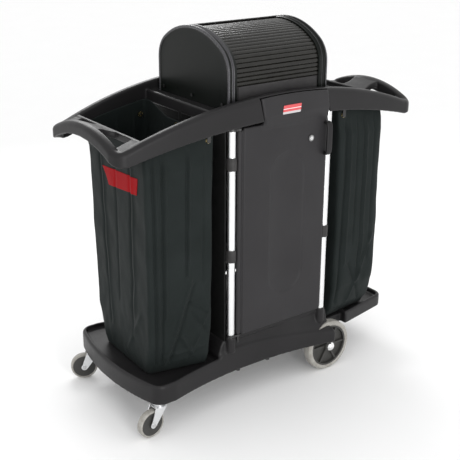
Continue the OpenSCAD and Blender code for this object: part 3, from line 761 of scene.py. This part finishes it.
def build_handle(turned):
    """The upright pull at the free edge of a door: a rounded bow on two feet."""
    rings = []
    path = [(-252, 904), (-262, 903), (-270, 906), (-272.5, 915), (-272.5, 960), (-272.5, 1005), (-270, 1014),
            (-262, 1017), (-252, 1016)]
    n = 20
    for i, (y, z) in enumerate(path):
        a = path[max(0, i - 1)]
        b = path[min(len(path) - 1, i + 1)]
        d = Vector((b[0] - a[0], b[1] - a[1])).normalized()
        normal = Vector((-d.y, d.x))
        ring = []
        for k in range(n):
            ang = math.tau * k / n
            c, s = math.cos(ang), math.sin(ang)
            wide = 12.6 * math.copysign(abs(c) ** 0.55, c)
            deep = 6.3 * math.copysign(abs(s) ** 0.7, s)
            ring.append((187 + wide, y + normal.x * deep, z + normal.y * deep))
        rings.append(ring)
    verts, faces = loft(rings)
    side = "rear" if turned else "front"
    obj = new_object(side + "_pull", verts, faces)
    fix_normals(obj)
    sub = obj.modifiers.new("sub", "SUBSURF")
    sub.levels = sub.render_levels = 2
    apply_modifiers(obj)
    if turned:
        obj.data.transform(Matrix.Rotation(math.pi, 4, "Z"))
    return piece(obj, side + "_door", "structural_plastic", [side + "_door_handle"])


# ---- hood ends ----

HOOD_HALF, SPRING_Z, SHOULDER_R = 216.0, 1222.0, 100.0
CROWN_RISE = 137.0
CROWN_R = (HOOD_HALF ** 2 - 2 * HOOD_HALF * SHOULDER_R + CROWN_RISE ** 2) / (2 * (CROWN_RISE - SHOULDER_R))
CROWN_Z = SPRING_Z - (CROWN_R - CROWN_RISE)
CROWN_A = math.atan((HOOD_HALF - SHOULDER_R) / (CROWN_R - CROWN_RISE))


def hood_arch(inset):
    """The hood's outline from the end, (y, z) from front foot to rear foot, inset."""
    pts = [(-(HOOD_HALF - inset), z) for z in (DECK_Z, DECK_Z + 40, DECK_Z + 80, SPRING_Z)]
    steps = 12
    for i in range(1, steps + 1):
        a = (math.pi / 2 - CROWN_A) * i / steps
        r = SHOULDER_R - inset
        pts.append((-(HOOD_HALF - SHOULDER_R) - r * math.cos(a), SPRING_Z + r * math.sin(a)))
    steps = 24
    for i in range(1, steps):
        a = CROWN_A * (2 * i / steps - 1)
        r = CROWN_R - inset
        pts.append((r * math.sin(a), CROWN_Z + r * math.cos(a)))
    front = pts[:16]
    return pts + [(-y, z) for y, z in front[::-1]]


HOOD_PROFILE = [(178, 7.0), (178, 4.6), (179.5, 3.9), (184.5, 3.9), (186.3, 2.6), (187.8, 0.9), (190, 0.2),
                (192.2, 0.9), (193.6, 2.8), (194.6, 5.2), (197, 6.2), (203, 6.2), (205.6, 5.2), (206.8, 2.6),
                (208.6, 0.8), (211, 0.1), (213.6, 0.6), (215.4, 2.2), (216, 4.6), (215.6, 7.4), (213.8, 9.6),
                (212.4, 12.5), (212, 17), (212, 40)]
# The steps of the profile that make its two raised beads; their faces get the paler bead colour, a painted
# highlight.
BEAD_STEPS = set(range(6, 10)) | set(range(14, 20))


def build_hood_end(left):
    rings = [[(x, y, z) for y, z in hood_arch(d)] for x, d in HOOD_PROFILE]
    rings += [[(208, y, z) for y, z in hood_arch(d)] for d in (40.0, 12.0)]
    rings += [[(x, y, z) for y, z in hood_arch(d)] for x, d in ((206, 9.5), (180, 9.2), (178, 8.6))]
    n = len(rings[0])
    verts = [p for ring in rings for p in ring]
    faces = []
    for i in range(len(rings)):
        k = (i + 1) % len(rings)
        if rings[i][0][0] == 212 and rings[k][0][0] == 208:
            continue
        for j in range(n - 1):
            faces.append((i * n + j, i * n + j + 1, k * n + j + 1, k * n + j))
    outer_cap = len(HOOD_PROFILE) - 1
    faces.append(tuple(outer_cap * n + j for j in range(n)))
    faces.append(tuple((outer_cap + 1) * n + j for j in range(n))[::-1])
    side = "left" if left else "right"
    if left:
        verts = [(-x, y, z) for x, y, z in verts]
        faces = [f[::-1] for f in faces]
    obj = new_object("hood_%s_shell" % side, verts, faces)
    sharp_by_angle(obj, 50)
    # The hood end takes the darker hood colour in place of the structural plastic, as painted shade.
    shell = piece(obj, "root", "structural_plastic", ["hood_%s_end" % side], HOOD_PAINTED_SHADE)
    # The bead faces take the paler bead colour, a painted highlight.
    shell.data.materials.append(BEAD_PAINTED_HIGHLIGHT)
    for face in shell.data.polygons:
        face.material_index = int(face.index // (n - 1) in BEAD_STEPS)
    return shell


def sharp_by_angle(obj, degrees):
    bm = bmesh.new()
    bm.from_mesh(obj.data)
    for edge in bm.edges:
        if len(edge.link_faces) == 2:
            edge.smooth = edge.calc_face_angle(0) < math.radians(degrees)
    bm.to_mesh(obj.data)
    bm.free()


# ---- bags ----

def bag_loop(corners, radius, count):
    """A rounded quadrilateral as count points, evenly spread along its length."""
    rough = rounded_plan(corners, radius, 10)
    lengths = [0.0]
    n = len(rough)
    for i in range(n):
        lengths.append(lengths[-1] + (Vector(rough[(i + 1) % n]) - Vector(rough[i])).length)
    total = lengths[-1]
    out = []
    k = 0
    for i in range(count):
        s = total * i / count
        while lengths[k + 1] < s:
            k += 1
        t = (s - lengths[k]) / max(1e-6, lengths[k + 1] - lengths[k])
        a, b = rough[k], rough[(k + 1) % n]
        out.append((lerp(a[0], b[0], t), lerp(a[1], b[1], t)))
    return out


def ridge(u, v, fold):
    """One crease on a face: height at (u across, v up) for a fold (u0, v0, u1, v1, width, height)."""
    u0, v0, u1, v1, width, height = fold
    du, dv = u1 - u0, v1 - v0
    length = du * du + dv * dv
    t = ((u - u0) * du + (v - v0) * dv) / length
    tc = clamp(t)
    dist = math.hypot(u - (u0 + du * tc), v - (v0 + dv * tc))
    fade = smooth(t, -0.25, 0.12) * (1 - smooth(t, 0.88, 1.25))
    return height * fade * math.exp(-abs(dist / width) ** 1.4)


def build_bag(name, node, levels, folds):
    """levels: (z, four plan corners, four corner radii) from the bottom up."""
    count = 460
    heights = []
    z = levels[0][0]
    while z < levels[-1][0]:
        heights.append(z)
        z += 6.0
    heights.append(levels[-1][0])
    rings = []
    for z in heights:
        for (za, ca, ra), (zb, cb, rb) in zip(levels, levels[1:]):
            if z <= zb:
                t = (z - za) / (zb - za)
                corners = [(lerp(a[0], b[0], t), lerp(a[1], b[1], t)) for a, b in zip(ca, cb)]
                radius = [lerp(a, b, t) for a, b in zip(ra, rb)]
                break
        loop = bag_loop(corners, radius, count)
        normals = inward_normals(loop)
        ring = []
        for (x, y), n in zip(loop, normals):
            push = 0.0
            face, u, wide = face_place(corners, x, y)
            for u0, z0, u1, z1, width, height in folds.get(face, ()):
                push += ridge(u * wide, z, (u0 * wide, z0, u1 * wide, z1, width * wide, height))
            wander = noise.noise(Vector((x, y, z)) * 0.011 + Vector((7.3, 1.1, 4.2)))
            small = noise.noise(Vector((x * 0.03, y * 0.03, z * 0.018)))
            low = 1 - smooth(z, 200, 560)
            push += 3.2 * wander + (0.8 + 2.4 * low) * small
            hold = smooth(z, levels[0][0], levels[0][0] + 30) * (1 - smooth(z, HEM_Z - 90, HEM_Z))
            lift = clamp(apron_low(x) - 1010, 0, 70) * smooth(y, 60, 205) * smooth(z, 960, 1036)
            ring.append((x - n.x * push * hold, y - n.y * push * hold, z + lift))
        rings.append(ring)
    bottom = []
    cx = sum(p[0] for p in rings[0]) / count
    cy = sum(p[1] for p in rings[0]) / count
    for shrink in (0.97, 0.75, 0.45, 0.1):
        bottom.append([(cx + (x - cx) * shrink, cy + (y - cy) * shrink, z - 1.5) for x, y, z in rings[0]])
    rows = bottom[::-1] + rings
    verts, faces = loft(rows, caps=False)
    faces.append(tuple(range(count))[::-1])
    obj = new_object(name, verts, faces)
    fix_normals(obj)
    shell = obj.modifiers.new("cloth", "SOLIDIFY")
    shell.thickness = 0.0018
    shell.offset = -1.0
    apply_modifiers(obj)
    return piece(obj, "root", "bag_fabric", [node])


def face_place(corners, x, y):
    """Which face of the bag a plan point belongs to, how far along it, 0 to 1, and the face's width."""
    best = None
    for i, label in enumerate(("front", "inner", "rear", "outer")):
        a, b = Vector(corners[i]), Vector(corners[(i + 1) % 4])
        d = b - a
        off = abs((Vector((x, y)) - a).cross(d)) / d.length
        if best is None or off < best[0]:
            best = (off, label, (Vector((x, y)) - a).dot(d) / d.dot(d), d.length)
    return best[1:]


LEFT_LEVELS = [
    (191, [(-520, -160), (-300, -206), (-280, 196), (-512, 152)], (16, 14, 22, 22)),
    (230, [(-531, -184), (-294, -217), (-276, 206), (-511, 176)], (18, 16, 26, 24)),
    (330, [(-542, -214), (-290, -226), (-272, 218), (-509, 206)], (16, 18, 26, 24)),
    (520, [(-547, -225), (-288, -229), (-270, 223), (-510, 217)], (15, 20, 26, 24)),
    (800, [(-549, -228), (-286, -229), (-270, 224), (-511, 222)], (15, 20, 26, 24)),
    (940, [(-550, -228), (-283, -228), (-270, 224), (-514, 222)], (16, 20, 26, 24)),
    (985, [(-546, -216), (-279, -222), (-271, 221), (-530, 212)], (16, 14, 20, 20)),
    (1036, [(-540, -198), (-276, -220), (-272, 220), (-540, 198)], (16, 12, 18, 18)),
]
RIGHT_LEVELS = [
    (191, [(276, -184), (516, -156), (498, 154), (280, 184)], (14, 20, 22, 22)),
    (235, [(284, -212), (519, -186), (499, 180), (276, 206)], (16, 26, 24, 26)),
    (330, [(287, -226), (521, -218), (500, 208), (272, 218)], (18, 44, 24, 26)),
    (520, [(288, -229), (521, -227), (500, 218), (270, 223)], (20, 52, 24, 26)),
    (800, [(286, -229), (514, -228), (499, 222), (270, 224)], (20, 50, 24, 26)),
    (940, [(283, -228), (514, -228), (500, 222), (270, 224)], (20, 44, 24, 26)),
    (985, [(279, -222), (511, -214), (505, 212), (271, 221)], (14, 24, 20, 20)),
    (1036, [(276, -219), (509, -199), (509, 198), (272, 220)], (12, 16, 18, 18)),
]
LEFT_FOLDS = {
    "front": [(0.1, 1000, 0.11, 240, 0.014, -7), (0.14, 1000, 0.15, 240, 0.016, 6),
              (0.24, 1020, 0.21, 230, 0.013, -8), (0.29, 1000, 0.26, 420, 0.02, 6),
              (0.6, 1010, 0.58, 560, 0.014, -7), (0.64, 1000, 0.61, 560, 0.018, 6),
              (0.85, 1000, 0.84, 520, 0.02, -5), (0.64, 545, 0.24, 232, 0.03, 10),
              (0.7, 520, 0.33, 232, 0.022, -8), (0.62, 470, 0.95, 400, 0.025, 7),
              (0.66, 420, 0.9, 330, 0.022, -6), (0.94, 430, 0.66, 236, 0.026, 7),
              (0.5, 330, 0.72, 236, 0.022, 6), (0.24, 262, 0.92, 268, 0.018, 5)],
    "outer": [(0.22, 990, 0.26, 300, 0.016, -5), (0.27, 990, 0.31, 300, 0.02, 4),
              (0.5, 980, 0.47, 420, 0.015, -4), (0.74, 1000, 0.7, 300, 0.016, -5),
              (0.79, 1000, 0.76, 400, 0.02, 4), (0.86, 420, 0.6, 250, 0.03, 6)],
    "rear": [(0.2, 1000, 0.24, 320, 0.014, -7), (0.48, 1000, 0.5, 420, 0.014, -6),
             (0.53, 1000, 0.56, 420, 0.018, 5), (0.78, 1000, 0.74, 260, 0.014, -7),
             (0.3, 520, 0.7, 260, 0.028, 8)],
    "inner": [(0.25, 1000, 0.22, 300, 0.014, -5), (0.7, 1000, 0.72, 300, 0.014, -5)],
}
RIGHT_FOLDS = {
    "front": [(0.17, 1000, 0.1, 260, 0.026, -13), (0.24, 1020, 0.2, 420, 0.02, 7),
              (0.4, 1010, 0.38, 500, 0.014, -6), (0.55, 1010, 0.52, 340, 0.014, -7),
              (0.6, 1000, 0.58, 340, 0.018, 5), (0.78, 1000, 0.74, 420, 0.016, -6),
              (0.8, 520, 0.4, 250, 0.028, 8), (0.3, 420, 0.7, 240, 0.024, -6)],
    "outer": [(0.25, 1000, 0.28, 320, 0.015, -6), (0.5, 1000, 0.48, 300, 0.015, -5),
              (0.74, 1000, 0.72, 320, 0.015, -6), (0.35, 480, 0.65, 250, 0.028, 7)],
    "rear": [(0.22, 1000, 0.25, 320, 0.014, -7), (0.5, 1000, 0.52, 420, 0.014, -6),
             (0.76, 1000, 0.74, 260, 0.014, -7)],
    "inner": [(0.3, 1000, 0.28, 300, 0.014, -5), (0.7, 1000, 0.7, 300, 0.014, -5)],
}


def build_bags():
    left = build_bag("left_bag_cloth", "left_bag", LEFT_LEVELS, LEFT_FOLDS)
    build_bag("right_bag_cloth", "right_bag", RIGHT_LEVELS, RIGHT_FOLDS)
    build_patch(left)


# ---- plain badge on the ear, and patch on the left bag ----

def build_badge():
    outline = rounded_plan([(-28, 1078), (50, 1078), (54, 1108), (-24, 1108)], (3, 3, 3, 3), 4)
    rings = []
    for depth, grow in ((-270.1, 0.0), (-271.6, 0.0), (-272.0, -0.7)):
        cx, cz = 13.0, 1093.0
        k = 1 + grow / 20
        rings.append([(cx + (x - cx) * k, depth, cz + (z - cz) * k) for x, z in outline])
    verts, faces = loft(rings)
    obj = new_object("badge_plate", verts, faces)
    fix_normals(obj)
    mat, nodes, links, bsdf = node_material("badge")
    vector = place(nodes, links)
    split = nodes.new("ShaderNodeSeparateXYZ")
    links.new(vector, split.inputs[0])
    badge_foot, badge_tall = 1.078, 0.03
    above = maths(nodes, links, "SUBTRACT", split.outputs["Z"], badge_foot)
    height = maths(nodes, links, "MULTIPLY", above, 1 / badge_tall)
    bands = ramp(nodes, links, height, [(0.0, (0.5, 0.5, 0.51)), (0.26, (0.62, 0.05, 0.06)),
                                        (0.54, (0.8, 0.76, 0.76)), (0.62, (0.62, 0.05, 0.06)),
                                        (1.0, (0.66, 0.06, 0.07))])
    nodes["Color Ramp"].color_ramp.interpolation = "CONSTANT"
    speck = noise_tex(nodes, links, vector, 260.0, 3.0)
    links.new(mix_colour(nodes, links, spread(nodes, links, speck, 0.0, 0.25), bands, (0.5, 0.3, 0.3)),
              bsdf.inputs["Base Color"])
    links.new(spread(nodes, links, speck, 0.25, 0.4), bsdf.inputs["Roughness"])
    bump(nodes, links, bsdf, speck, 0.1, 0.0002)
    return piece(obj, "front_door", "badge", ["door_badge"], mat)


PATCH_RED = (0.3, 0.003, 0.006)


def build_patch(bag):
    """A plain red patch on the outer face of the left bag, in place of a printed mark."""
    rows, cols = 24, 60
    verts, faces = [], []
    for i in range(rows + 1):
        for j in range(cols + 1):
            v, u = i / rows, j / cols
            y = lerp(lerp(52, 92, v), lerp(-166, -174, v), u)
            z = lerp(lerp(838, 862, u), lerp(898, 921, u), v)
            verts.append((-600, y, z))
    for i in range(rows):
        for j in range(cols):
            a = i * (cols + 1) + j
            faces.append((a, a + 1, a + cols + 2, a + cols + 1))
    obj = new_object("bag_patch", verts, faces)
    fix_normals(obj)
    wrap = obj.modifiers.new("wrap", "SHRINKWRAP")
    wrap.wrap_method = "PROJECT"
    wrap.use_project_x = True
    wrap.use_positive_direction = True
    wrap.use_negative_direction = True
    wrap.target = bag
    wrap.offset = 0.0009
    apply_modifiers(obj)
    shell = obj.modifiers.new("cloth", "SOLIDIFY")
    shell.thickness = 0.0008
    shell.offset = 0.0
    apply_modifiers(obj)
    mat, nodes, links, bsdf = node_material("patch_print")
    vector = place(nodes, links)
    cloud = noise_tex(nodes, links, vector, 60.0, 5.0)
    thread = noise_tex(nodes, links, place(nodes, links, (1, 1, 0.15)), 500.0, 2.0)
    links.new(mix_colour(nodes, links, spread(nodes, links, cloud, 0.0, 0.5), PATCH_RED, (0.22, 0.002, 0.004)),
              bsdf.inputs["Base Color"])
    bsdf.inputs["Specular IOR Level"].default_value = 0.1
    bsdf.inputs["Roughness"].default_value = 0.65
    bump(nodes, links, bsdf, thread, 0.3, 0.0005)
    return piece(obj, "root", "bag_fabric", (), mat)


build_top_frame()
build_base()
build_tray()
for turned in (False, True):
    build_door(turned)
    build_handle(turned)
for left in (False, True):
    build_hood_end(left)
build_bags()
build_badge()

# ---- camera, lights and floor ----

CAMERA_AZ, CAMERA_EL, CAMERA_ROLL = math.radians(-36.24), math.radians(20.76), math.radians(0.3)
CAMERA_FAR = 3.45315
CAMERA_AIM = Vector((-0.05377, 0.0, 0.61233))


def set_camera():
    data = bpy.data.cameras.new("camera")
    data.lens = 71.75
    data.sensor_width = 36.0
    data.shift_x = 0.0025
    data.shift_y = -0.0176
    cam = bpy.data.objects.new("camera", data)
    bpy.context.scene.collection.objects.link(cam)
    back = Vector((math.sin(CAMERA_AZ) * math.cos(CAMERA_EL), -math.cos(CAMERA_AZ) * math.cos(CAMERA_EL),
                   math.sin(CAMERA_EL)))
    cam.location = CAMERA_AIM + back * CAMERA_FAR
    turn = back.to_track_quat("Z", "Y").to_matrix() @ Matrix.Rotation(CAMERA_ROLL, 3, "Z")
    cam.rotation_euler = turn.to_euler()
    bpy.context.scene.camera = cam


def area_light(name, where, aim, size, power):
    data = bpy.data.lights.new(name, "AREA")
    data.shape = "RECTANGLE"
    data.size, data.size_y = size
    data.energy = power
    lamp = bpy.data.objects.new(name, data)
    bpy.context.scene.collection.objects.link(lamp)
    lamp.location = where
    lamp.rotation_euler = (Vector(where) - Vector(aim)).to_track_quat("Z", "Y").to_euler()
    lamp.visible_camera = False


def set_lights():
    area_light("key", (-0.9, -3.8, 1.6), (0, 0, 0.6), (0.9, 1.4), 34)
    area_light("top", (0.8, 2.3, 2.3), (0, 0.1, 1.2), (1.6, 0.5), 26)
    area_light("left strip", (-3.3, 0.1, 0.5), (-0.6, -0.2, 0.9), (0.1, 1.1), 3)
    area_light("front strip", (-0.7, -3.4, 0.5), (-0.6, -0.2, 0.9), (0.22, 1.1), 16)
    world = bpy.data.worlds.new("studio")
    world.use_nodes = True
    world.node_tree.nodes["Background"].inputs["Color"].default_value = (1, 1, 1, 1)
    world.node_tree.nodes["Background"].inputs["Strength"].default_value = 1.05
    bpy.context.scene.world = world
    bpy.context.scene.view_settings.view_transform = "Standard"


def set_floor():
    reach = 30000.0
    floor = new_object("floor", [(-reach, -reach, -0.3), (reach, -reach, -0.3), (reach, reach, -0.3),
                                 (-reach, reach, -0.3)], [(0, 1, 2, 3)], False)
    mat, nodes, links, bsdf = node_material("floor_paint")
    soft = noise_tex(nodes, links, place(nodes, links), 3.0, 3.0)
    links.new(ramp(nodes, links, soft, [(0.0, (0.93, 0.93, 0.93)), (1.0, (0.95, 0.95, 0.95))]),
              bsdf.inputs["Base Color"])
    bsdf.inputs["Roughness"].default_value = 0.8
    dress(floor, mat)


set_camera()
set_lights()
set_floor()
